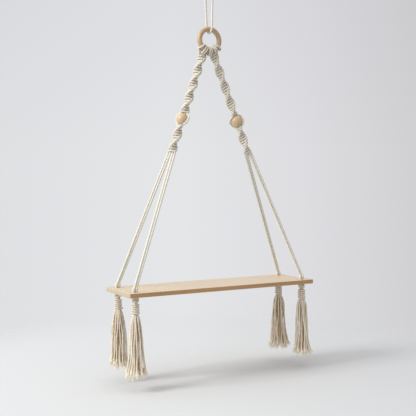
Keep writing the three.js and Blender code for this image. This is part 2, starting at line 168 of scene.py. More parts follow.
def makeCotton(name, look):
    material = bpy.data.materials.new(name)
    material.use_nodes = True
    tree = material.node_tree
    shader = tree.nodes["Principled BSDF"]
    fibres = addNode(tree, "ShaderNodeGroup", node_tree=yarnGroup)
    fibres.inputs["Fibres"].default_value = look["fibres"]
    fibres.inputs["Slant"].default_value = look["slant"]
    body = ramp(tree, fibres.outputs["Fibre"], zip(yarn["colourStops"], (look["shade"], look["light"])))
    colour = mixed(tree, fibres.outputs["Blotch"], body, look["tint"], "MULTIPLY")
    tree.links.new(colour, shader.inputs["Base Color"])
    rough = ramp(tree, fibres.outputs["Fuzz"], yarn["roughness"])
    tree.links.new(rough, shader.inputs["Roughness"])
    fuzz = math2(tree, "MULTIPLY", fibres.outputs["Fuzz"], yarn["fuzzHeight"])
    height = math2(tree, "ADD", fibres.outputs["Fibre"], fuzz)
    relief = (("Height", height), ("Distance", look["relief"]), ("Strength", yarn["bumpStrength"]))
    bump = addNode(tree, "ShaderNodeBump", relief)
    tree.links.new(bump.outputs[0], shader.inputs["Normal"])
    shader.inputs["Sheen Weight"].default_value = look["sheen"]
    shader.inputs["Sheen Roughness"].default_value = yarn["sheenRoughness"]
    shader.inputs["Specular IOR Level"].default_value = yarn["specular"]
    return material


cottonLook = {
    "light": (0.85, 0.83, 0.75), "shade": (0.78, 0.75, 0.665), "tint": (0.97, 0.96, 0.94),
    "fibres": 26.0, "slant": 60.0, "relief": 0.00018, "sheen": 0.1,
}
knotLook = {**cottonLook, "light": (0.86, 0.825, 0.735), "shade": (0.68, 0.625, 0.53)}
skirtLook = {
    **cottonLook, "light": (0.94, 0.86, 0.735), "shade": (0.79, 0.69, 0.55), "tint": (0.98, 0.97, 0.95),
    "fibres": 12.0, "slant": 110.0,
}
# The inner strands get a darker, warmer copy of the strand colour: painted shade for the shade that falls
# between the strands.
innerShadeLook = {**skirtLook, "light": (0.82, 0.67, 0.50), "shade": (0.62, 0.475, 0.32)}
frayLook = {
    **cottonLook, "light": (0.97, 0.91, 0.79), "shade": (0.93, 0.85, 0.71), "tint": (0.99, 0.98, 0.97),
    "fibres": 4.0, "relief": 0.0001,
}
wrapLook = {**cottonLook, "light": (0.82, 0.76, 0.66), "shade": (0.66, 0.585, 0.475)}
cotton = makeCotton("cottonCord", cottonLook)
knottedCotton = makeCotton("knottedCottonCord", knotLook)
skirtCotton = makeCotton("tasselStrands", skirtLook)
innerShadedCotton = makeCotton("innerTasselStrandsPaintedShade", innerShadeLook)
frayedCotton = makeCotton("frayedEnds", frayLook)
wrapCotton = makeCotton("tasselWrapping", wrapLook)


# Cords as tubes: a smooth path through chosen points, and a section of twisted plies.
# Points may carry more than their place, such as a radius, and the path carries it along.
tube = {"spanSteps": 12, "tipRise": 0.3, "mostAlongY": 0.9}


def smoothPath(points, step):
    given = np.array(points, float)
    given = np.vstack([2 * given[:1] - given[1:2], given, 2 * given[-1:] - given[-2:-1]])
    gaps = np.sqrt(np.linalg.norm(np.diff(given[:, :3], axis=0), axis=1))
    marks = np.concatenate([[0.0], np.cumsum(gaps)])
    fine = []
    for i in range(1, len(given) - 2):
        t0, t1, t2, t3 = marks[i - 1:i + 3]
        t = np.linspace(t1, t2, tube["spanSteps"], endpoint=False)[:, None]
        a = (given[i - 1] * (t1 - t) + given[i] * (t - t0)) / (t1 - t0)
        b = (given[i] * (t2 - t) + given[i + 1] * (t - t1)) / (t2 - t1)
        c = (given[i + 1] * (t3 - t) + given[i + 2] * (t - t2)) / (t3 - t2)
        ab = (a * (t2 - t) + b * (t - t0)) / (t2 - t0)
        bc = (b * (t3 - t) + c * (t - t1)) / (t3 - t1)
        fine.append((ab * (t2 - t) + bc * (t - t1)) / (t2 - t1))
    fine = np.vstack([*fine, given[-2:-1]])
    run = runAlong(fine[:, :3])
    even = np.linspace(0, run[-1], max(2, round(run[-1] / step) + 1))
    return np.stack([np.interp(even, run, fine[:, k]) for k in range(fine.shape[1])], axis=1)


def runAlong(path):
    return np.concatenate([[0.0], np.cumsum(np.linalg.norm(np.diff(path, axis=0), axis=1))])


def unit(vectors):
    return vectors / np.linalg.norm(vectors, axis=-1, keepdims=True)


def cordFrames(path):
    along = unit(np.gradient(path, axis=0))
    side = np.zeros_like(path)
    aside = (0, 1, 0) if abs(along[0][1]) < tube["mostAlongY"] else (1, 0, 0)
    last = np.cross(along[0], aside)
    for i, direction in enumerate(along):
        last = unit(last - direction * np.dot(last, direction))
        side[i] = last
    return side, np.cross(along, side)


def cordRings(path, radius, lay):
    side, across = cordFrames(path)
    run = runAlong(path)
    around = np.arange(lay["sides"]) / lay["sides"] * 2 * math.pi
    groove = np.asarray(lay["groove"]).reshape(-1, 1)
    lobes = 1 - groove * (1 - np.abs(np.sin(lay["plies"] / 2 * around)))[None]
    angle = around[None] + 2 * math.pi * run[:, None] / lay["pitch"]
    reach = (np.asarray(radius).reshape(-1, 1) * lobes)[..., None]
    sideward = np.cos(angle)[..., None] * side[:, None]
    crossward = np.sin(angle)[..., None] * across[:, None]
    return path[:, None] + reach * (sideward + crossward), run


# One mesh from any number of tubes: rows of quads, a cone of triangles on each end, and one UV map
def cordMesh(name, stacks, material):
    vertices, quads, tips, quadUv, tipUv = [], [], [], [], []
    base = 0
    for rings, run in stacks:
        rows, count = rings.shape[:2]
        i = np.arange(rows - 1)[:, None] * count
        j = np.arange(count)[None]
        k = (j + 1) % count
        quads.append(np.stack([i + j, i + k, i + count + k, i + count + j], -1).reshape(-1, 4) + base)
        u0, u1 = (np.broadcast_to(u[:, None] * mm, (rows - 1, count)) for u in (run[:-1], run[1:]))
        v0, v1 = (np.broadcast_to(v, (rows - 1, count)) for v in (j / count, (j + 1) / count))
        quadUv.append(np.stack([u0, v0, u0, v1, u1, v1, u1, v0], -1).reshape(-1))
        vertices.append(rings.reshape(-1, 3))
        for number, (row, inner) in enumerate(((0, 1), (rows - 1, rows - 2))):
            middle = rings[row].mean(0)
            vertices.append((middle + tube["tipRise"] * (middle - rings[inner].mean(0)))[None])
            j1, k1 = row * count + j[0] + base, row * count + k[0] + base
            centre = np.full(count, base + rows * count + number)
            tips.append(np.stack([j1, k1, centre] if number else [k1, j1, centre], -1))
            tipUv.append(np.tile((run[row] * mm, 0.5), count * 3))
        base += rows * count + 2
    mesh = bpy.data.meshes.new(name)
    faces = np.vstack(quads).tolist() + np.vstack(tips).tolist()
    mesh.from_pydata((np.vstack(vertices) * mm).tolist(), [], faces)
    mesh.polygons.foreach_set("use_smooth", np.ones(len(faces), bool))
    layer = mesh.uv_layers.new(name="cordUv")
    layer.data.foreach_set("uv", np.concatenate([*quadUv, *tipUv]))
    mesh.materials.append(material)
    mesh.update()
    piece = bpy.data.objects.new(name, mesh)
    bpy.context.scene.collection.objects.link(piece)
    return piece


# Hanging cord: over the hook, down as two strands and round the ring's top
hangingCord = {
    "radius": 2.6,
    "step": 1.2,
    "lay": {"sides": 24, "plies": 3, "groove": 0.05, "pitch": 19.0},
    "overTheHook": [
        (-10, 0, -9.2), (-10, 0, -7.5), (-8.7, 0, -2.5), (-5, 0, 1.2), (0, 0, 2.5),
        (5, 0, 1.2), (8.7, 0, -2.5), (10, 0, -7.5), (10, 0, -9.2),
    ],
    "frontStrand": [(10, 0, -12), (9.6, -0.45, -16), (8.1, -2.2, -32), (5.95, -4.73, -55)],
    "roundTheRing": [
        (4.1, -6.9, -75), (2.6, -8.7, -90), (2, -9.35, -97), (1.33, -8.1, -101.7), (0.67, -4.7, -105.1),
        (0, 0, -106.35),
        (-0.67, 4.7, -105.1), (-1.33, 8.1, -101.7), (-2, 9.35, -97), (-2.6, 8.7, -90), (-4.1, 6.9, -75),
    ],
    "backStrand": [(-5.95, 4.73, -55), (-8.1, 2.2, -32), (-9.6, 0.45, -16), (-10, 0, -12)],
}


def makeHangingCord():
    stretches = ("backStrand", "overTheHook", "frontStrand", "roundTheRing")
    whole = [point for stretch in stretches for point in hangingCord[stretch]] + hangingCord["backStrand"][:1]
    path = smoothPath(whole, hangingCord["step"])
    rings, run = cordRings(path, np.full(len(path), hangingCord["radius"]), hangingCord["lay"])
    cut = int(np.argmin(np.linalg.norm(path - np.array(hangingCord["frontStrand"][-1]), axis=1)))
    made = []
    for name, part in (("cord_over_the_hook", slice(0, cut + 1)), ("cord_round_the_ring", slice(cut, None))):
        piece = cordMesh(name, [(rings[part], run[part])], cotton)
        made.append(piece)
    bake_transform(made[0])
    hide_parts("hanging_loop", "hanging_strand_front", "hanging_strand_back")
    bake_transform(made[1])
    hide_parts("hanging_bight")


makeHangingCord()
print("hanging cord made")


# Legs: the line from the ring's foot to the fork, and the turn of the spiral along it.
# Each spiral has the length of half a turn above and below the bead, and the degrees above, at and below it.
legs = {
    "top": (19.5, 6.3, -170.0),
    "fork": (107.5, 0.0, -403.0),
    "beadZ": -319.0,
    "beadSeat": 14.255,
    "spirals": {"left": (35.5, 38.0, 50.0, 62.5, 75.0), "right": (40.5, 41.0, -12.0, 37.5, 60.0)},
}
sides = {"left": -1, "right": 1}


# A leg's straight line, with its own directions: down, along the board and across it
def legLine(name):
    side = sides[name]
    top, fork = (np.array((side * p[0], p[1], p[2])) for p in (legs["top"], legs["fork"]))
    down = unit(fork - top)
    along = unit(np.cross(down, (0, 1, 0)))
    across = np.cross(down, along)
    middle = top + down * (legs["beadZ"] - top[2]) / down[2]
    return {"name": name, "side": side, "down": down, "along": along, "across": across, "bead": middle}


def turnAt(leg, fromBead):
    upperHalf, lowerHalf, above, atBead, below = legs["spirals"][leg["name"]]
    seat = legs["beadSeat"]
    if fromBead < -seat:
        return math.radians(above + 180 * (fromBead + seat) / upperHalf)
    if fromBead > seat:
        return math.radians(below + 180 * (fromBead - seat) / lowerHalf)
    return math.radians(np.interp(fromBead, (-seat, 0, seat), (above, atBead, below)))


def legPoint(leg, fromBead, wide, thick):
    turn = turnAt(leg, fromBead)
    point = leg["bead"] + leg["down"] * fromBead
    point = point + leg["along"] * (wide * math.cos(turn) - thick * math.sin(turn))
    return point + leg["across"] * (wide * math.sin(turn) + thick * math.cos(turn))


# One half knot of a working cord: width, thickness, way down from its bar, and the cord's radius.
# The next half knot is the same turned half round, so the two working cords change sides at every bar.
knots = {
    "halfKnot": [
        (-8.7, 0.4, -5.4, 2.65), (-8.8, -0.9, -3.4, 2.65), (-8.3, -3.0, -1.7, 2.5), (-7.2, -4.2, -0.5, 2.25),
        (-6.6, -0.8, 1.2, 2.1), (-5.4, 3.3, 0.8, 2.3), (0, 3.95, 0, 2.55), (5.2, 3.1, -0.7, 2.4),
        (7.7, 0.3, -0.6, 2.3),
    ],
    "pitch": 7.0,
    "barsAbove": (-166.0, -19.0),
    "barsBelow": (19.0, 82.0),
    "bow": {"reach": 17.1, "radius": 2.45, "degrees": (-62, -50, -35, -18, 0, 18, 35, 50, 62)},
    "foot": {"drop": 2.4, "wide": 8.4, "radius": 2.3},
    "core": {"spread": 2.45, "radius": 2.45},
    "bore": {"spread": 2.65, "radius": 2.4},
    "coreStretches": (("upper", -163, -16, 21), ("bead", -12, 12, 4), ("lower", 16, 83, 10)),
    "lay": {"sides": 18, "plies": 3, "groove": 0.09, "pitch": 19.0},
    "step": 1.1,
}
# Stations say which piece a stretch of cord belongs to
station = {"head": 0, "upper": 1, "bead": 2, "lower": 3, "carrying": 4}


# The half knots between two bars, with the first points left out where the cord comes in at the side
def workingRun(leg, bars, hand, place, skip):
    points = []
    for bar in np.arange(bars[0], bars[1] + knots["pitch"] / 2, knots["pitch"]):
        for wide, thick, drop, radius in knots["halfKnot"][skip:]:
            points.append((*legPoint(leg, bar + drop, hand * wide, hand * thick), radius, station[place]))
        hand, skip = -hand, 0
    return points, hand


def workingCord(leg, hand):
    bow, foot = knots["bow"], knots["foot"]
    points, hand = workingRun(leg, knots["barsAbove"], hand, "upper", 2)
    for degrees in bow["degrees"]:
        angle = math.radians(degrees)
        place = legPoint(leg, bow["reach"] * math.sin(angle), -hand * bow["reach"] * math.cos(angle), 0)
        points.append((*place, bow["radius"], station["bead"]))
    lower, hand = workingRun(leg, knots["barsBelow"], hand, "lower", 1)
    end = legPoint(leg, knots["barsBelow"][1] + foot["drop"], -hand * foot["wide"], 0)
    return [*points, *lower, (*end, foot["radius"], station["lower"])], -hand


def coreCord(leg, hand):
    points = []
    for place, first, last, count in knots["coreStretches"]:
        form = knots["bore" if place == "bead" else "core"]
        for fromBead in np.linspace(first, last, count):
            side = legPoint(leg, fromBead, hand * form["spread"], 0)
            points.append((*side, form["radius"], station[place]))
    return points, hand


# Lark's heads: degrees along the ring and round its rod, and the way out from the rod
heads = {
    "ringZ": -124.0,
    "ringRadius": 27.0,
    "wrapRadius": 8.65,
    "cord": 3.6,
    "stepDegrees": 7.3,
    "steps": {"inner": 2, "outer": 6},
    "entry": {"behind": 8.6, "drop": 4.4},
    "places": [
        (3.9, 56, 0.08), (4.5, 80, 0), (5.5, 110, 0), (7, 145, 0), (7.3, 180, 0), (7.5, 215, 0),
        (8.3, 250, 0), (9.4, 285, 0), (10.4, 320, 0), (10.6, 350, 0.1), (10.6, 375, 0.5), (11.2, 400, 0),
        (9.7, 431, 0.93), (4.8, 430, 1.6), (0, 432, 1.6),
    ],
    "radius": 2.3,
}


def roundTheRod(along, around, out):
    reach = heads["wrapRadius"] + out * heads["cord"]
    along, around = math.radians(along), math.radians(around)
    radial = heads["ringRadius"] + reach * math.cos(around)
    z = heads["ringZ"] - radial * math.cos(along)
    return np.array((radial * math.sin(along), reach * math.sin(around), z))


# Board, its holes and the two cords that go down through each
board = {
    "length": 500.0, "depth": 150.0, "thickness": 10.0, "topZ": -719.0, "cornerRadius": 4.0, "ease": 0.9,
    "holeX": 228.0, "holeY": 53.0, "holeRadius": 6.0, "drill": 30.0,
    "cornerSteps": 8, "holeSteps": 48, "easeSteps": 3, "easeFrom": 50, "smoothTo": 30, "uprightShare": 0.6,
}
carrying = {
    "radius": 2.6, "groove": 0.035, "shares": (0.03, 0.12, 0.3, 0.5, 0.7, 0.88), "straight": 8, "spread": 5.3,
    "mouthRadius": 3.5, "mouthSpread": 0.3, "mouthRise": 3.0, "mouthBend": 4.0, "mouthStart": 1.2,
    "throat": 4, "tuck": 3.5, "tuckIn": 0.5,
}


# From the fork to a hole, bent over the hole's rim, down through the board and into the knot under it
def carryingRun(leg, start, faceSide, offset):
    through = np.array((leg["side"] * board["holeX"] + offset, faceSide * board["holeY"], 0.0))
    corner = through + up * (board["topZ"] + carrying["mouthRise"] + carrying["mouthBend"])
    lean = unit(start - corner)
    points = [start + (corner - start) * share for share in carrying["shares"]]
    for back in (carrying["mouthBend"] + carrying["straight"], carrying["mouthBend"]):
        points.append(corner + lean * back)
    radii = [carrying["radius"]] * len(points)
    bulge = np.array((carrying["mouthSpread"] * offset, 0, 0))
    rim = through + up * (board["topZ"] + carrying["mouthRise"]) + bulge
    points += [corner + lean * carrying["mouthStart"] + bulge, rim]
    radii += [carrying["mouthRadius"]] * 2
    bottom = board["topZ"] - board["thickness"]
    inner = through - np.array((carrying["tuckIn"] * offset, 0, 0)) + up * (bottom - carrying["tuck"])
    points += [through + up * (board["topZ"] - carrying["throat"]), through + up * bottom, inner]
    radii += [carrying["radius"]] * 3
    return [(*point, radius, station["carrying"]) for point, radius in zip(points, radii)]


# Half a lark's head: from its middle round the ring to where its tail enters the leg
def headTail(middle, hand, end):
    places = [roundTheRod(middle + hand * a, b, c) for a, b, c in heads["places"]]
    entry = heads["entry"]
    between = 0.5 * (places[0][0] + end[0])
    places = [*places[::-1], np.array((between, entry["behind"], places[0][2] - entry["drop"]))]
    return [(*place, heads["radius"], station["head"]) for place in places]


# Cuts one cord at its stations, so that each stretch can be a piece of its own
def slices(path, radius, places, lay):
    rings, run = cordRings(path, radius, lay)
    found = {}
    for sign in (-1, 1):
        for name, number in station.items():
            inside = np.where(np.abs(places * sign - number) <= 0.5)[0]
            if not len(inside) or (name == "head" and sign < 0):
                continue
            part = slice(inside[0], min(inside[-1] + 2, len(path)))
            found[(name, sign)] = (rings[part], run[part])
    return found


# Each lark's head is one cord: one tail ties the half knots and the other fills them
def makeLeg(name):
    leg = legLine(name)
    stacks = {"upper": [], "lower": []}
    for order, outward in (("inner", -1), ("outer", 1)):
        middle = leg["side"] * heads["stepDegrees"] * heads["steps"][order]
        hand = leg["side"] * outward
        tails = []
        for towards in (-1, 1):
            works = towards == outward
            points, foot = workingCord(leg, -hand) if works else coreCord(leg, hand)
            run = headTail(middle, leg["side"] * towards, points[0]) + points
            faceSide = -1 if foot > 0 else 1
            offset = carrying["spread"] / 2 * (1 if (foot > 0) == works else -1)
            run += carryingRun(leg, np.array(run[-1][:3]), faceSide, offset)
            tails.append(([(*p[:4], towards * p[4]) for p in run], works, faceSide, offset))
        path = smoothPath(tails[0][0][::-1] + tails[1][0][1:], knots["step"])
        line, radii, places = path[:, :3], path[:, 3], path[:, 4]
        isRope = np.abs(places) > station["lower"] + 0.5
        groove = np.where(isRope, carrying["groove"], knots["lay"]["groove"])
        found = slices(line, radii, places, {**knots["lay"], "groove": groove})
        piece = cordMesh(f"{name}_{order}_head", [found[("head", 1)]], knottedCotton)
        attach(piece, "ring")
        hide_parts(f"{name}_{order}_larks_head")
        for towards, (_, works, faceSide, offset) in zip((-1, 1), tails):
            stacks["upper"].append(found[("upper", towards)])
            stacks["lower"].append(found[("lower", towards)])
            mark = "a" if hand < 0 else "b"
            part = "bow" if works else "core"
            piece = cordMesh(f"{name}_bead_{part}_{mark}", [found[("bead", towards)]], cotton)
            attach(piece, "legs")
            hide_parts(f"{name}_bead_{'cord' if works else 'filler'}_{mark}")
            corner = f"{'front' if faceSide < 0 else 'back'}_{name}"
            mark = "a" if offset < 0 else "b"
            piece = cordMesh(f"{corner}_rope_{mark}", [found[("carrying", towards)]], cotton)
            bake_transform(piece)
            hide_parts(f"{corner}_carrying_cord_{mark}")
    for place in ("upper", "lower"):
        piece = cordMesh(f"{name}_{place}_knots", stacks[place], knottedCotton)
        if place == "upper":
            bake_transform(piece)
        else:
            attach(piece, "legs")
        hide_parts(f"{name}_{place}_sennit")
    return leg


legLines = [makeLeg(name) for name in sides]
print("legs made")


# Wood: grain in long streaks, darker late wood lines and fine pores
grain = {
    "bend": ((4, 30, 30), 2.0), "streaks": ((9, 420, 420), 3.0), "pores": ((90, 2600, 2600), 1.0),
    "cloud": ((6, 14, 14), 1.0),
    "slope": 0.6, "latePower": 3.0, "lateShare": 0.5, "streakShare": 0.6,
    "colourStops": (0.2, 0.75), "poreStops": (0.25, 0.45), "roughStops": (0.2, 0.8),
    "bumpStrength": 0.6, "coatRoughness": 0.35,
}


def makeWoodGroup():
    tree, given, result = newGroup(
        "woodGrain",
        (("Place", "NodeSocketVector"), ("Rings", "NodeSocketFloat"), ("Wander", "NodeSocketFloat")),
        (("Streak", "NodeSocketFloat"), ("Pores", "NodeSocketFloat"), ("Cloud", "NodeSocketFloat")),
    )
    fine = {}
    for name in ("bend", "streaks", "pores", "cloud"):
        scale, detail = grain[name]
        stretched = vectorMath(tree, "MULTIPLY", given.outputs["Place"], scale).outputs[0]
        fine[name] = noise(tree, stretched, 1.0, detail)
    sway = math2(tree, "MULTIPLY", fine["bend"], given.outputs["Wander"])
    parts = addNode(tree, "ShaderNodeSeparateXYZ", ((0, given.outputs["Place"]),))
    across = math2(tree, "ADD", parts.outputs[1], math2(tree, "MULTIPLY", parts.outputs[2], grain["slope"]))
    level = math2(tree, "ADD", math2(tree, "MULTIPLY", across, given.outputs["Rings"]), sway)
    late = math2(tree, "POWER", math2(tree, "FRACT", level, 0.0), grain["latePower"])
    lateLine = math2(tree, "MULTIPLY", late, grain["lateShare"])
    streak = math2(tree, "ADD", lateLine, math2(tree, "MULTIPLY", fine["streaks"], grain["streakShare"]))
    for name, source in (("Streak", streak), ("Pores", fine["pores"]), ("Cloud", fine["cloud"])):
        tree.links.new(source, result.inputs[name])
    return tree


woodGroup = makeWoodGroup()


def makeWood(name, look):
    material = bpy.data.materials.new(name)
    material.use_nodes = True
    tree = material.node_tree
    shader = tree.nodes["Principled BSDF"]
    solid = addNode(tree, "ShaderNodeTexCoord").outputs["Object"]
    turned = (("Vector", solid), ("Rotation", look["turn"]), ("Scale", look["scale"]))
    place = addNode(tree, "ShaderNodeMapping", turned)
    wood = addNode(tree, "ShaderNodeGroup", (("Place", place.outputs[0]),), node_tree=woodGroup)
    wood.inputs["Rings"].default_value = look["rings"]
    wood.inputs["Wander"].default_value = look["wander"]
    base = ramp(tree, wood.outputs["Streak"], zip(grain["colourStops"], (look["light"], look["dark"])))
    colour = mixed(tree, wood.outputs["Cloud"], base, look["cloud"], "MULTIPLY")
    fine = ramp(tree, wood.outputs["Pores"], zip(grain["poreStops"], (look["pore"], (1, 1, 1))))
    colour = mixed(tree, 1.0, colour, fine, "MULTIPLY")
    tree.links.new(colour, shader.inputs["Base Color"])
    greys = [(value,) * 3 for value in look["roughness"]]
    rough = ramp(tree, wood.outputs["Streak"], zip(grain["roughStops"], greys))
    tree.links.new(rough, shader.inputs["Roughness"])
    height = math2(tree, "ADD", wood.outputs["Pores"], wood.outputs["Streak"])
    relief = (("Height", height), ("Distance", look["relief"]), ("Strength", grain["bumpStrength"]))
    bump = addNode(tree, "ShaderNodeBump", relief)
    tree.links.new(bump.outputs[0], shader.inputs["Normal"])
    shader.inputs["Coat Weight"].default_value = look["coat"]
    shader.inputs["Coat Roughness"].default_value = grain["coatRoughness"]
    return material


boardLook = {
    "light": (0.75, 0.635, 0.50), "dark": (0.655, 0.53, 0.39), "cloud": (0.94, 0.92, 0.88),
    "pore": (0.93, 0.9, 0.86), "turn": (0, 0, 0), "scale": (1, 1, 1), "rings": 75.0, "wander": 1.6,
    "roughness": (0.5, 0.62), "relief": 0.00012, "coat": 0.0,
}
# The long sides get a darker, browner copy of the board's wood, which is painted shade. The ends get a darker
# tone of their own.
sideShadeLook = {**boardLook, "light": (0.55, 0.335, 0.165), "dark": (0.43, 0.25, 0.11)}
endLook = {
    **boardLook, "light": (0.62, 0.53, 0.41), "dark": (0.52, 0.42, 0.30), "turn": (0, math.pi / 2, 0),
}
ringLook = {
    "light": (0.68, 0.49, 0.30), "dark": (0.45, 0.30, 0.165), "cloud": (0.9, 0.87, 0.83),
    "pore": (0.85, 0.8, 0.75), "turn": (0, 0.5, 0), "scale": (1, 2, 2), "rings": 120.0, "wander": 1.2,
    "roughness": (0.34, 0.46), "relief": 0.00008, "coat": 0.8,
}
beadLook = {
    "light": (0.76, 0.59, 0.39), "dark": (0.60, 0.43, 0.26), "cloud": (0.93, 0.9, 0.86),
    "pore": (0.88, 0.84, 0.79), "turn": (0.3, 0.9, 0), "scale": (1, 2, 2), "rings": 110.0, "wander": 1.0,
    "roughness": (0.34, 0.46), "relief": 0.00008, "coat": 0.5,
}
boardTopWood = makeWood("boardFaceWood", boardLook)
boardSidePaintedShade = makeWood("boardSidePaintedShade", sideShadeLook)
boardEndWood = makeWood("boardEndWood", endLook)
ringWood = makeWood("ringTurnedWood", ringLook)
beadWood = makeWood("beadTurnedWood", beadLook)
print("materials made")


# Edit mode helpers
tolerance = 0.00001


def deselectAll():
    if bpy.context.mode != "OBJECT":
        bpy.ops.object.mode_set(mode="OBJECT")
    bpy.ops.object.select_all(action="DESELECT")


def selectWhere(piece, kind, test):
    bpy.ops.object.mode_set(mode="EDIT")
    bpy.ops.mesh.select_mode(type=kind)
    bpy.ops.mesh.select_all(action="DESELECT")
    bpy.ops.object.mode_set(mode="OBJECT")
    for part in {"VERT": piece.data.vertices, "EDGE": piece.data.edges}[kind]:
        part.select = bool(test(part))
    bpy.ops.object.mode_set(mode="EDIT")


def edgeEnds(piece, edge):
    return [piece.data.vertices[i].co for i in edge.vertices]


def placeInMesh(piece):
    deselectAll()
    piece.select_set(True)
    bpy.context.view_layer.objects.active = piece
    bpy.ops.object.transform_apply(location=True, rotation=True, scale=True)


def finishMesh(piece, angle, *materials):
    placeInMesh(piece)
    bpy.ops.object.mode_set(mode="EDIT")
    bpy.ops.mesh.select_all(action="SELECT")
    bpy.ops.mesh.remove_doubles(threshold=tolerance)
    bpy.ops.mesh.normals_make_consistent(inside=False)
    bpy.ops.object.mode_set(mode="OBJECT")
    bpy.ops.object.shade_smooth_by_angle(angle=math.radians(angle))
    piece.data.materials.clear()
    for material in materials:
        piece.data.materials.append(material)


# Ring: a turned hoop, a little flatter on its inner wall
ring = {
    "centre": (0, 0, -0.124), "radius": 0.0267, "rod": 0.0062, "flatten": 0.985, "wallShare": 0.8,
    "segments": (96, 28), "smoothTo": 60,
}


def makeRing():
    deselectAll()
    bpy.ops.mesh.primitive_torus_add(
        location=ring["centre"], rotation=(math.pi / 2, 0, 0), major_radius=ring["radius"],
        minor_radius=ring["rod"], major_segments=ring["segments"][0], minor_segments=ring["segments"][1])
    piece = bpy.context.object
    piece.name = "wooden_ring"
    innerWall = ring["radius"] - ring["wallShare"] * ring["rod"]
    selectWhere(piece, "VERT", lambda v: v.co.xy.length < innerWall)
    outward = (1 / ring["flatten"], 1, 1 / ring["flatten"])
    bpy.ops.transform.resize(value=outward, center_override=ring["centre"])
    bpy.ops.object.mode_set(mode="OBJECT")
    finishMesh(piece, ring["smoothTo"], ringWood)
    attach(piece, "ring")
    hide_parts("hanging_ring")


# Beads: turned balls, bored through, with eased rims
bead = {
    "radius": 0.0147, "bore": 0.0055, "rimEase": 0.0007, "segments": (48, 36), "easeSteps": 3, "smoothTo": 40,
}


def makeBeads():
    rim = math.sqrt(bead["radius"] ** 2 - bead["bore"] ** 2)
    for leg in legLines:
        deselectAll()
        bpy.ops.mesh.primitive_uv_sphere_add(
            segments=bead["segments"][0], ring_count=bead["segments"][1], radius=bead["radius"])
        piece = bpy.context.object
        piece.name = f"{leg['name']}_wooden_bead"
        bpy.ops.object.mode_set(mode="EDIT")
        for way in (-1, 1):
            bpy.ops.mesh.select_all(action="SELECT")
            bpy.ops.mesh.bisect(plane_co=(0, 0, way * rim), plane_no=(0, 0, way), clear_outer=True)
        bpy.ops.object.mode_set(mode="OBJECT")

        def atRim(edge):
            return all(abs(abs(end.z) - rim) < tolerance for end in edgeEnds(piece, edge))

        def roundRim(edge):
            first, last = edgeEnds(piece, edge)
            return atRim(edge) and first.z * last.z > 0

        selectWhere(piece, "EDGE", atRim)
        bpy.ops.mesh.bridge_edge_loops()
        bpy.ops.object.mode_set(mode="OBJECT")
        selectWhere(piece, "EDGE", roundRim)
        bpy.ops.mesh.bevel(offset=bead["rimEase"], segments=bead["easeSteps"], affect="EDGES")
        bpy.ops.object.mode_set(mode="OBJECT")
        piece.rotation_euler = Vector(leg["down"]).to_track_quat("Z", "Y").to_euler()
        piece.location = Vector(leg["bead"] * mm)
        finishMesh(piece, bead["smoothTo"], beadWood)
        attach(piece, f"{leg['name']}_bead")
        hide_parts(f"{leg['name']}_bead")


# Board: a plank with rounded corners, eased edges and four bored holes
def makeBoard():
    deselectAll()
    size = [board[key] * mm for key in ("length", "depth", "thickness")]
    middleZ = (board["topZ"] - board["thickness"] / 2) * mm
    bpy.ops.mesh.primitive_cube_add(size=1, location=(0, 0, middleZ))
    piece = bpy.context.object
    piece.name = "board"
    piece.scale = size
    placeInMesh(piece)

    def isUpright(edge):
        first, last = edgeEnds(piece, edge)
        return abs(first.z - last.z) > size[2] / 2

    selectWhere(piece, "EDGE", isUpright)
    bpy.ops.mesh.bevel(offset=board["cornerRadius"] * mm, segments=board["cornerSteps"], affect="EDGES")
    bpy.ops.object.mode_set(mode="OBJECT")
    for x in (-board["holeX"], board["holeX"]):
        for y in (-board["holeY"], board["holeY"]):
            deselectAll()
            bpy.ops.mesh.primitive_cylinder_add(
                vertices=board["holeSteps"], radius=board["holeRadius"] * mm, depth=board["drill"] * mm,
                location=(x * mm, y * mm, middleZ))
            drill = bpy.context.object
            bore = piece.modifiers.new("bore", "BOOLEAN")
            bore.object, bore.operation, bore.solver = drill, "DIFFERENCE", "EXACT"
            bpy.context.view_layer.objects.active = piece
            bpy.ops.object.modifier_apply(modifier="bore")
            bpy.data.objects.remove(drill)
    ease = piece.modifiers.new("ease", "BEVEL")
    ease.width, ease.segments, ease.limit_method = board["ease"] * mm, board["easeSteps"], "ANGLE"
    ease.angle_limit, ease.use_clamp_overlap = math.radians(board["easeFrom"]), True
    bpy.ops.object.modifier_apply(modifier="ease")
    finishMesh(piece, board["smoothTo"], boardTopWood, boardSidePaintedShade, boardEndWood)
    # Each face takes its wood by the way it faces: top and bottom the face wood, the long sides the copy with
    # painted shade, the ends their own darker tone.
    for face in piece.data.polygons:
        upright = abs(face.normal.z) < board["uprightShare"]
        atEnd = abs(face.normal.x) > board["uprightShare"]
        face.material_index = (2 if atEnd else 1) if upright else 0
    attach(piece, "shelf")
    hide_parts("shelf_board")


makeRing()
makeBeads()
makeBoard()
print("ring, beads and board made")


# Stop knots under the board: a cord that goes twice round and crosses itself five times
stopKnot = {
    "middleZ": -736.2, "reach": 4.0, "weave": 2.3, "rise": 4.3, "rounds": 2, "crossings": 5, "radius": 2.45,
    "points": 60, "step": 1.1, "lay": {**hangingCord["lay"], "groove": 0.13, "pitch": 17.0},
}


def makeStopKnot(corner, middle, turn):
    angles = np.linspace(0, 2 * math.pi * stopKnot["rounds"], stopKnot["points"] + 1)
    weave = angles * stopKnot["crossings"] / stopKnot["rounds"]
    out = stopKnot["reach"] + stopKnot["weave"] * np.cos(weave)
    height = stopKnot["rise"] * np.sin(weave)
    loop = np.stack([out * np.cos(angles + turn), out * np.sin(angles + turn), height], 1)
    path = smoothPath(loop + middle, stopKnot["step"])
    rings = cordRings(path, np.full(len(path), stopKnot["radius"]), stopKnot["lay"])
    piece = cordMesh(f"{corner}_knot", [rings], wrapCotton)
    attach(piece, "shelf")
    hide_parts(f"{corner}_stop_knot")


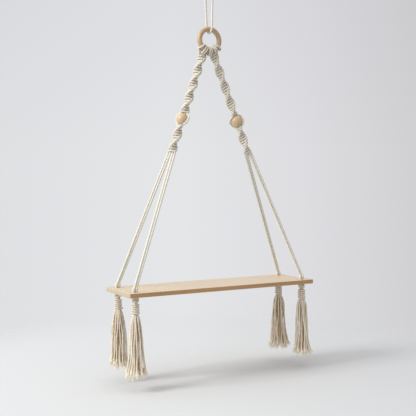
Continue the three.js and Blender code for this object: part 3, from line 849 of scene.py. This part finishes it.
# Tassels: a neck of strands, a cord wound round it, and a skirt of loose strands with frayed ends
neck = {
    "line": [(-739, 1.2), (-741, 2.5), (-743.5, 3.9), (-746, 3.7), (-749, 2.9), (-771, 2.9)],
    "strands": 8, "radius": 1.7, "turnPerMm": 0.03, "step": 1.2,
}
wrap = {
    "topZ": -746.45, "radius": 7.2, "cord": 2.25, "pitch": 4.8, "turns": 4.5, "lead": 5.2, "degrees": 30,
    "lastTurnWider": 0.8, "widensOver": 1.2, "step": 1.1,
    "lay": {"sides": 18, "plies": 3, "groove": 0.16, "pitch": 15.0},
}
skirt = {
    "topZ": -765.0, "footZ": -898.0, "points": 15, "step": 2.4,
    "levels": (-765, -771, -779, -786, -798, -820, -845, -868, -888, -903),
    "rounds": (("outer", 17, 1.0, 1.6), ("inner", 10, 0.66, 1.6), ("inner", 5, 0.28, 1.6)),
    "thickness": ((0, 0.12, 0.87, 0.94, 1), (0.72, 1, 1.03, 1.4, 0.7)),
    "lay": {"sides": 10, "plies": 2, "groove": 0.09, "pitch": 9.0},
    "uneven": 0.3, "unevenEnds": (-3, 5), "drift": 0.12, "belly": 0.8, "freeFrom": 2.2, "leastReach": 6,
    "bendsOut": (9, 0.35), "bendsAside": ((6.5, 0.8), (14, 0.35)), "swell": (31, 0.05),
}
fray = {
    "fibres": 34, "rootSteps": 4, "length": 13.0, "radius": 0.42, "splay": 0.22, "lengthShares": (0.6, 1.05),
    "curl": (0.6, 0.6, 0.1), "curlReach": 1.4, "scatter": (1.1, 1.5), "marks": (0, 0.33, 0.66, 1),
    "thickness": (1.3, 1.15, 1.0, 0.5), "lay": {"sides": 6, "plies": 3, "groove": 0.0, "pitch": 1e6},
}
# What differs from tassel to tassel: the wrapping's turn, the widths down the skirt, how far its strands
# wander, and the side on which it hangs lowest with the extra length there. Each has its own random draws.
corners = {
    "front_left": {
        "turn": -92, "wander": 1.5, "lowest": (-105, 8), "seed": 11,
        "widths": (3.2, 6.6, 8.6, 10.2, 11.8, 13.7, 14.6, 16.4, 19.5, 22.0),
    },
    "back_left": {
        "turn": 126, "wander": 1.8, "lowest": (-100, 3), "seed": 12,
        "widths": (3.2, 6.6, 9.0, 10.8, 12.9, 15.2, 16.2, 16.4, 18.6, 20.6),
    },
    "front_right": {
        "turn": -150, "wander": 2.1, "lowest": (-100, 3), "seed": 13,
        "widths": (3.2, 7.0, 10.2, 12.1, 12.9, 13.3, 13.9, 16.2, 18.8, 20.8),
    },
    "back_right": {
        "turn": 206, "wander": 2.2, "lowest": (-110, 2), "seed": 14,
        "widths": (3.2, 7.0, 10.2, 12.5, 13.7, 15.0, 16.2, 18.5, 22.4, 25.2),
    },
}


def makeNeck(corner, middle):
    stacks = []
    for i in range(neck["strands"]):
        points = []
        for z, out in neck["line"]:
            angle = 2 * math.pi * i / neck["strands"] + (neck["line"][0][0] - z) * neck["turnPerMm"]
            points.append((middle[0] + out * math.cos(angle), middle[1] + out * math.sin(angle), z))
        path = smoothPath(points, neck["step"])
        stacks.append(cordRings(path, np.full(len(path), neck["radius"]), skirt["lay"]))
    piece = cordMesh(f"{corner}_neck_strands", stacks, skirtCotton)
    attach(piece, f"{corner}_neck")
    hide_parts(f"{corner}_tassel_neck")


def makeWrap(corner, middle, turn):
    turns = wrap["turns"]
    points = []
    for angle in np.arange(0, 360 * turns + 1, wrap["degrees"]):
        way = math.radians(angle) + turn
        wider = np.interp(angle / 360, (turns - wrap["widensOver"], turns), (0, 1))
        radius = wrap["radius"] + wrap["lastTurnWider"] * wider
        z = wrap["topZ"] - wrap["pitch"] * angle / 360
        points.append(np.array((radius * math.cos(way), radius * math.sin(way), z - middle[2])))
    points.insert(0, points[0] + unit(points[0] - points[1]) * wrap["lead"])
    points.append(points[-1] + unit(points[-1] - points[-2]) * wrap["lead"])
    path = smoothPath(np.array(points) + middle, wrap["step"])
    rings = cordRings(path, np.full(len(path), wrap["cord"]), wrap["lay"])
    piece = cordMesh(f"{corner}_winding", [rings], wrapCotton)
    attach(piece, f"{corner}_neck")
    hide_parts(f"{corner}_tassel_wrap")


# One strand: it follows the skirt's outline, and it bellies, wavers and drifts by its own random draws
def skirtStrand(draw, corner, middle, angle, reach):
    lowestWay, longer = corners[corner]["lowest"]
    towardsLowest = 0.5 + 0.5 * math.cos(angle - math.radians(lowestWay))
    foot = skirt["footZ"] - longer * towardsLowest + draw.uniform(*skirt["unevenEnds"])
    drift = draw.uniform(-skirt["drift"], skirt["drift"])
    swing, flutter = draw.uniform(0, 2 * math.pi), draw.uniform(0, 2 * math.pi)
    belly = draw.normal(0, 1)
    outRate, outShare = skirt["bendsOut"]
    (swingRate, swingShare), (flutterRate, flutterShare) = skirt["bendsAside"]
    points = []
    for z in np.linspace(skirt["topZ"], foot, skirt["points"]):
        share = (z - skirt["topZ"]) / (foot - skirt["topZ"])
        out = reach * np.interp(-z, -np.array(skirt["levels"]), corners[corner]["widths"])
        sway = corners[corner]["wander"] * min(1, skirt["freeFrom"] * share)
        bellied = skirt["belly"] * belly * math.sin(math.pi * share)
        out += sway * (bellied + outShare * math.sin(outRate * share + flutter))
        swung = swingShare * math.sin(swingRate * share + swing)
        aside = sway * (swung + flutterShare * math.sin(flutterRate * share + flutter))
        way = angle + drift * share + aside / max(out, skirt["leastReach"])
        points.append((middle[0] + out * math.cos(way), middle[1] + out * math.sin(way), z))
    return smoothPath(points, skirt["step"])


def frayedFibres(draw, path, radius):
    end = path[-fray["rootSteps"]]
    heading = unit(path[-1] - end)
    wide, high = fray["scatter"]
    made = []
    for _ in range(fray["fibres"]):
        tip = heading + draw.normal(0, 1, 3) * fray["splay"]
        length = fray["length"] * draw.uniform(*fray["lengthShares"])
        curl = draw.normal(0, 1, 3) * fray["curl"]
        start = end + draw.uniform(-1, 1, 3) * (radius * wide, radius * wide, high)
        bent = [start + tip * length * t + curl * t * t * fray["curlReach"] for t in fray["marks"]]
        made.append(cordRings(np.array(bent), fray["radius"] * np.array(fray["thickness"]), fray["lay"]))
    return made


def makeSkirt(corner, middle):
    draw = np.random.default_rng(corners[corner]["seed"])
    strands, fibres = {"outer": [], "inner": []}, []
    swellRate, swellShare = skirt["swell"]
    for place, count, reach, radius in skirt["rounds"]:
        for i in range(count):
            angle = 2 * math.pi * (i + draw.uniform(-skirt["uneven"], skirt["uneven"])) / count
            path = skirtStrand(draw, corner, middle, angle, reach)
            share = np.linspace(0, 1, len(path))
            swell = 1 + swellShare * np.sin(swellRate * share + angle)
            thick = radius * np.interp(share, *skirt["thickness"]) * swell
            strands[place].append(cordRings(path, thick, skirt["lay"]))
            fibres += frayedFibres(draw, path, radius)
    pieces = [
        cordMesh(f"{corner}_skirt_strands", strands["outer"], skirtCotton),
        # The inner rounds take the darker copy of the strand colour, which is painted shade.
        cordMesh(f"{corner}_inner_strands", strands["inner"], innerShadedCotton),
        cordMesh(f"{corner}_frayed_ends", fibres, frayedCotton),
    ]
    for piece in pieces:
        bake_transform(piece)
    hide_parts(f"{corner}_tassel_skirt")


def makeTassels():
    for corner in corners:
        faceSide = -1 if corner.startswith("front") else 1
        endSide = sides["left" if corner.endswith("left") else "right"]
        middle = np.array((endSide * board["holeX"], faceSide * board["holeY"], 0.0))
        turn = math.radians(corners[corner]["turn"])
        makeStopKnot(corner, middle + up * stopKnot["middleZ"], turn)
        makeNeck(corner, middle)
        makeWrap(corner, middle, turn)
        makeSkirt(corner, middle)


makeTassels()
print("tassels made")


# Floor: a pale disc that fades into the backdrop, with painted shade that darkens it a little to the right
studio = {
    "target": (0.0, 0.0, -0.6),
    "sideways": (0.8817, -0.4719, 0.0),
    "floorZ": -0.945, "floorRadius": 1.6, "floorSteps": 96, "floorRoughness": 0.9, "floorSpecular": 0.1,
    "floorLeft": (0.685, 0.70, 0.717), "floorRightShaded": (0.605, 0.615, 0.635),
    "across": (-0.05, 0.7), "fade": (0.6, 1.05),
    "fromAround": (0.27, 0.257, 0.24), "fromAbove": (0.675, 0.68, 0.69), "fromTheLeft": (0.57, 0.57, 0.57),
    "acrossWallShades": (
        (0.24, (0.745, 0.75, 0.77)), (0.46, (0.785, 0.79, 0.81)), (0.62, (0.725, 0.725, 0.75)),
        (0.76, (0.635, 0.635, 0.655)),
    ),
    "upwardShades": ((0.55, (1.0, 1.0, 1.0)), (0.75, (0.935, 0.935, 0.94))),
    "lamps": {
        "overhead": {"way": (0.03, -0.14, 1.0), "distance": 3.2, "size": 0.7, "power": 5},
        "leftWindow": {"way": (-1.0, 0.03, 0.65), "distance": 5.0, "size": 1.7, "power": 136},
    },
    "lampColour": (1.0, 0.99, 0.975),
}


def makeFloor():
    deselectAll()
    bpy.ops.mesh.primitive_circle_add(
        vertices=studio["floorSteps"], radius=studio["floorRadius"], fill_type="NGON",
        location=(0, 0, studio["floorZ"]))
    floor = bpy.context.object
    floor.name = "floor"
    placeInMesh(floor)
    material = bpy.data.materials.new("paleFloor")
    material.use_nodes = True
    tree = material.node_tree
    shader = tree.nodes["Principled BSDF"]
    shader.inputs["Roughness"].default_value = studio["floorRoughness"]
    shader.inputs["Specular IOR Level"].default_value = studio["floorSpecular"]
    solid = addNode(tree, "ShaderNodeTexCoord").outputs["Object"]
    across = vectorMath(tree, "DOT_PRODUCT", solid, studio["sideways"]).outputs["Value"]
    share = mapped(tree, across, *studio["across"])
    # Painted shade: the floor's colour darkens from left to right.
    shade = mixed(tree, share.outputs[0], studio["floorLeft"], studio["floorRightShaded"])
    tree.links.new(shade, shader.inputs["Base Color"])
    away = vectorMath(tree, "DISTANCE", solid, (0, 0, studio["floorZ"])).outputs["Value"]
    far = mapped(tree, away, *studio["fade"])
    far.interpolation_type = "SMOOTHSTEP"
    clear = addNode(tree, "ShaderNodeBsdfTransparent").outputs[0]
    layers = ((0, far.outputs[0]), (1, shader.outputs[0]), (2, clear))
    faded = addNode(tree, "ShaderNodeMixShader", layers)
    tree.links.new(faded.outputs[0], tree.nodes["Material Output"].inputs["Surface"])
    floor.data.materials.append(material)


# World: a soft fill, stronger from above and from the left, and a wall seen by camera and glossy rays, with
# painted shade that darkens it to the right and upwards
def makeWorld():
    world = bpy.data.worlds.new("studioWorld")
    bpy.context.scene.world = world
    world.use_nodes = True
    tree = world.node_tree
    light = tree.nodes["Background"]
    way = addNode(tree, "ShaderNodeTexCoord").outputs["Generated"]
    parts = addNode(tree, "ShaderNodeSeparateXYZ", ((0, way),))
    leftward = math2(tree, "MAXIMUM", math2(tree, "MULTIPLY", parts.outputs[0], -1.0), 0.0)
    upward = math2(tree, "MAXIMUM", parts.outputs[2], 0.0)
    above = vectorMath(tree, "MULTIPLY", upward, studio["fromAbove"]).outputs[0]
    left = vectorMath(tree, "MULTIPLY", leftward, studio["fromTheLeft"]).outputs[0]
    both = vectorMath(tree, "ADD", above, left).outputs[0]
    fill = vectorMath(tree, "ADD", both, studio["fromAround"]).outputs[0]
    tree.links.new(fill, light.inputs["Color"])
    across = vectorMath(tree, "DOT_PRODUCT", way, studio["sideways"]).outputs["Value"]
    # Painted shade on the backdrop: it darkens to the right and upwards.
    wall = ramp(tree, math2(tree, "ADD", across, 0.5), studio["acrossWallShades"])
    shade = ramp(tree, math2(tree, "ADD", parts.outputs[2], 0.5), studio["upwardShades"])
    backdrop = mixed(tree, 1.0, wall, shade, "MULTIPLY")
    seen = addNode(tree, "ShaderNodeBackground", (("Color", backdrop), ("Strength", 1.0))).outputs[0]
    rays = addNode(tree, "ShaderNodeLightPath")
    straight = math2(tree, "MAXIMUM", rays.outputs["Is Camera Ray"], rays.outputs["Is Glossy Ray"])
    choose = addNode(tree, "ShaderNodeMixShader", ((0, straight), (1, light.outputs[0]), (2, seen)))
    tree.links.new(choose.outputs[0], tree.nodes["World Output"].inputs["Surface"])


# Lamps: a soft window to the left, and a small one overhead
def makeLamps():
    for name, lamp in studio["lamps"].items():
        way = Vector(lamp["way"]).normalized()
        place = Vector(studio["target"]) + way * lamp["distance"]
        facing = (-way).to_track_quat("-Z", "Y").to_euler()
        bpy.ops.object.light_add(type="AREA", location=place, rotation=facing)
        made = bpy.context.object
        made.name = name
        made.data.shape, made.data.size = "SQUARE", lamp["size"]
        made.data.energy, made.data.color = lamp["power"], studio["lampColour"]


makeFloor()
makeWorld()
makeLamps()
bpy.context.scene.view_settings.view_transform = "Standard"
print("studio made")
